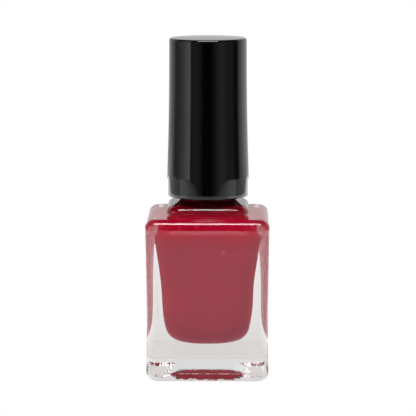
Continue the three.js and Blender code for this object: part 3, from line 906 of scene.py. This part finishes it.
def surround():
    """A curved screen of softboxes and dim cards, lighting and mirrored but not seen by the camera."""
    vertices, glow = [], []
    for degrees, radiance in SURROUND:
        a = math.radians(degrees)
        for height in (-0.3, SURROUND_HEIGHT):
            vertices.append((SURROUND_RADIUS * math.sin(a), -SURROUND_RADIUS * math.cos(a), height))
            glow.append(radiance)
    faces = [(2 * i, 2 * i + 2, 2 * i + 3, 2 * i + 1) for i in range(len(SURROUND) - 1)]
    mesh = bpy.data.meshes.new("surround")
    mesh.from_pydata(vertices, [], faces)
    attribute = mesh.attributes.new("glow", "FLOAT", "POINT")
    attribute.data.foreach_set("value", glow)
    look = bpy.data.materials.new("surround")
    look.use_nodes = True
    nodes = look.node_tree.nodes
    nodes.clear()
    glow_node = add_node(look, "ShaderNodeAttribute", attribute_name="glow")
    light = add_node(look, "ShaderNodeEmission")
    link(look, glow_node.outputs["Fac"], light.inputs["Strength"])
    link(look, light.outputs[0], add_node(look, "ShaderNodeOutputMaterial").inputs["Surface"])
    mesh.materials.append(look)
    screen = bpy.data.objects.new("surround", mesh)
    bpy.context.scene.collection.objects.link(screen)
    screen.visible_camera = False


def lights():
    area_light("overhead", (0, -0.22, 0.57), (0, 0, 0.04), 0.42, 0.2, 14.0)
    for side, radiance in ((-1, 3.0), (1, 2.0)):
        fill = area_light("side_fill", (side * 0.55, -0.06, 0.1), (0, 0, 0.025), 0.3, 0.3, radiance)
        fill.visible_glossy = fill.visible_transmission = False


# The paper the bottle stands on, as (distance behind the bottle in metres, colour it glows). The glow is
# painted light and shade: a bright pool of light in front of the bottle, and a painted shadow of the
# bottle on the paper under and behind it.
PAPER_LIGHT_AND_SHADE = (
    (-0.255, (0.45, 0.44, 0.43)), (-0.2, (0.8, 0.8, 0.8)), (-0.15, (1.2, 1.25, 1.36)),
    (-0.04, (1.2, 1.25, 1.36)), (-0.015, (0.66, 0.62, 0.6)), (0.35, (0.7, 0.67, 0.65)),
)
PAPER_HALF_WIDTH = 0.42
SIDE_CARD_GLOW = 2.4
SIDE_CARD_INNER, SIDE_CARD_OUTER = 0.04, 0.22  # metres from the bottle's middle
SIDE_CARD_FRONT, SIDE_CARD_BACK = -0.1, 0.3
SIDE_CARD_HEIGHT = 0.001  # just clear of the table and the paper
TABLE_HALF_WIDTH, TABLE_FRONT, TABLE_BACK = 1.3, -0.6, 1.4


def sheet(name, corners, look, seen_by_camera):
    mesh = bpy.data.meshes.new(name)
    mesh.from_pydata(corners, [], [tuple(range(len(corners)))])
    mesh.materials.append(look)
    obj = bpy.data.objects.new(name, mesh)
    bpy.context.scene.collection.objects.link(obj)
    obj.visible_camera = seen_by_camera
    obj.visible_diffuse = obj.visible_glossy = obj.visible_transmission = not seen_by_camera
    obj.visible_shadow = not seen_by_camera
    return obj


def glow_look(name):
    look = bpy.data.materials.new(name)
    look.use_nodes = True
    look.node_tree.nodes.clear()
    glow = add_node(look, "ShaderNodeEmission", {"Color": (1, 1, 1, 1)})
    link(look, glow.outputs[0], add_node(look, "ShaderNodeOutputMaterial").inputs["Surface"])
    return look, glow


def side_cards():
    """White cards lying at both sides, mirrored in the bottle's rounded upright edges."""
    for side in (-1, 1):
        white, glow = glow_look("side_card")
        glow.inputs["Strength"].default_value = SIDE_CARD_GLOW
        inner, outer = side * SIDE_CARD_INNER, side * SIDE_CARD_OUTER
        corners = [
            (inner, SIDE_CARD_FRONT, SIDE_CARD_HEIGHT), (outer, SIDE_CARD_FRONT, SIDE_CARD_HEIGHT),
            (outer, SIDE_CARD_BACK, SIDE_CARD_HEIGHT), (inner, SIDE_CARD_BACK, SIDE_CARD_HEIGHT),
        ]
        card = sheet("side_card", corners, white, False)
        card.visible_diffuse = card.visible_transmission = False


def stage():
    """The camera sees a blown-out white table. Reflections and refractions see the paper, which glows
    with painted light and shade: bright in front of the bottle, with a painted shadow under and behind
    it.
    """
    side_cards()
    white, _ = glow_look("white_table")
    sheet("table", [
        (-TABLE_HALF_WIDTH, TABLE_FRONT, 0), (TABLE_HALF_WIDTH, TABLE_FRONT, 0),
        (TABLE_HALF_WIDTH, TABLE_BACK, 0), (-TABLE_HALF_WIDTH, TABLE_BACK, 0),
    ], white, True)
    # Painted light and shade: the paper's glow is bright in front of the bottle and dim under and behind
    # it, where the bottle's shadow falls.
    paper, glow = glow_look("paper")
    near, far = PAPER_LIGHT_AND_SHADE[0][0], PAPER_LIGHT_AND_SHADE[-1][0]
    place = add_node(paper, "ShaderNodeTexCoord")
    split = add_node(paper, "ShaderNodeSeparateXYZ")
    along = add_node(paper, "ShaderNodeMapRange", {"From Min": near, "From Max": far})
    ramp = add_node(paper, "ShaderNodeValToRGB")
    link(paper, place.outputs["Object"], split.inputs["Vector"])
    link(paper, split.outputs["Y"], along.inputs["Value"])
    link(paper, along.outputs["Result"], ramp.inputs["Fac"])
    link(paper, ramp.outputs["Color"], glow.inputs["Color"])
    for i, (y, color) in enumerate(PAPER_LIGHT_AND_SHADE):
        part = (y - near) / (far - near)
        stop = ramp.color_ramp.elements[0] if i == 0 else ramp.color_ramp.elements.new(part)
        stop.position, stop.color = part, (*color, 1)
    ramp.color_ramp.elements.remove(ramp.color_ramp.elements[-1])
    side = PAPER_HALF_WIDTH
    sheet("paper", [(-side, near, 0), (side, near, 0), (side, far, 0), (-side, far, 0)], paper, False)
    world = bpy.data.worlds.new("studio")
    bpy.context.scene.world = world
    world.use_nodes = True
    nodes, links = world.node_tree.nodes, world.node_tree.links
    dark = nodes["Background"]
    dark.inputs["Color"].default_value = (0.006, 0.006, 0.006, 1)
    bright = nodes.new("ShaderNodeBackground")
    bright.inputs["Color"].default_value = (1, 1, 1, 1)
    path, mix = nodes.new("ShaderNodeLightPath"), nodes.new("ShaderNodeMixShader")
    links.new(path.outputs["Is Camera Ray"], mix.inputs[0])
    links.new(dark.outputs[0], mix.inputs[1])
    links.new(bright.outputs[0], mix.inputs[2])
    links.new(mix.outputs[0], nodes["World Output"].inputs["Surface"])


def render_settings():
    scene = bpy.context.scene
    scene.view_settings.view_transform = "Standard"
    scene.cycles.max_bounces = 24
    scene.cycles.transmission_bounces = 20
    scene.cycles.transparent_max_bounces = 24
    scene.cycles.glossy_bounces = 12
    scene.cycles.caustics_reflective = False
    scene.cycles.caustics_refractive = False


camera()
stage()
surround()
lights()
render_settings()
glass_bottle(glass_look())
lacquer_fill(lacquer_look())
outer_cap(cap_look())
inner_cap(moulded_look("black_closure", (0.012, 0.012, 0.012), (0.018, 0.018, 0.019), 0.42))
seal_liner(foam_look())
brush_rod(rod_look())
bristle_tuft(wet_look())
plain_nodes()
